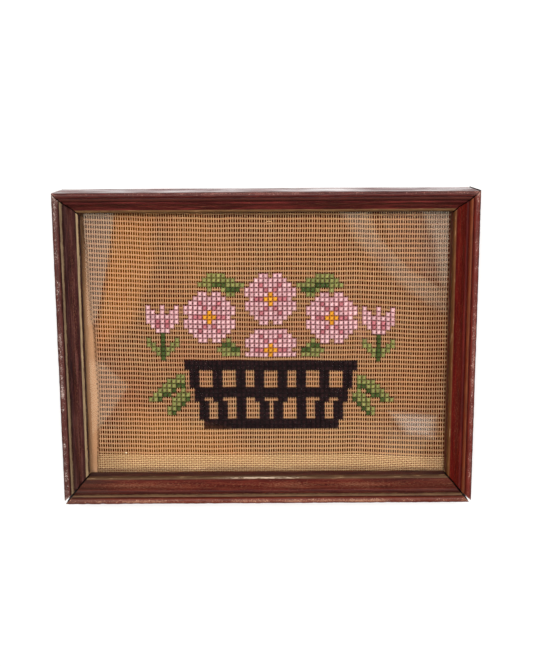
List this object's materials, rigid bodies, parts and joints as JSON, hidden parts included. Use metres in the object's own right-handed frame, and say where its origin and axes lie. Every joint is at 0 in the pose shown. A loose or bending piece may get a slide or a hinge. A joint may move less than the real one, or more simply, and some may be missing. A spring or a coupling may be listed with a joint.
{
  "type": "framed needlepoint picture",
  "caption": "Small needlepoint picture on open canvas, set behind glass in a deep mitred mahogany frame with two gilt lines.",
  "frame": {"origin": "middle of the plane that the frame's back lies on, under the middle of its outer rectangle", "axes": "+Z out of the picture's face, +Y to the top of the picture, +X to its right"},
  "size_m": [0.218, 0.1656, 0.0325],
  "materials": {
    "mahogany": "satin",
    "glass": "gloss",
    "canvas": "matte",
    "card": "matte"
  },
  "bodies": {
    "root": {"rail_top": "mahogany", "rail_bottom": "mahogany", "rail_left": "mahogany", "rail_right": "mahogany", "glass": "glass", "canvas": "canvas", "backing_card": "card"}
  },
  "joints": []
}
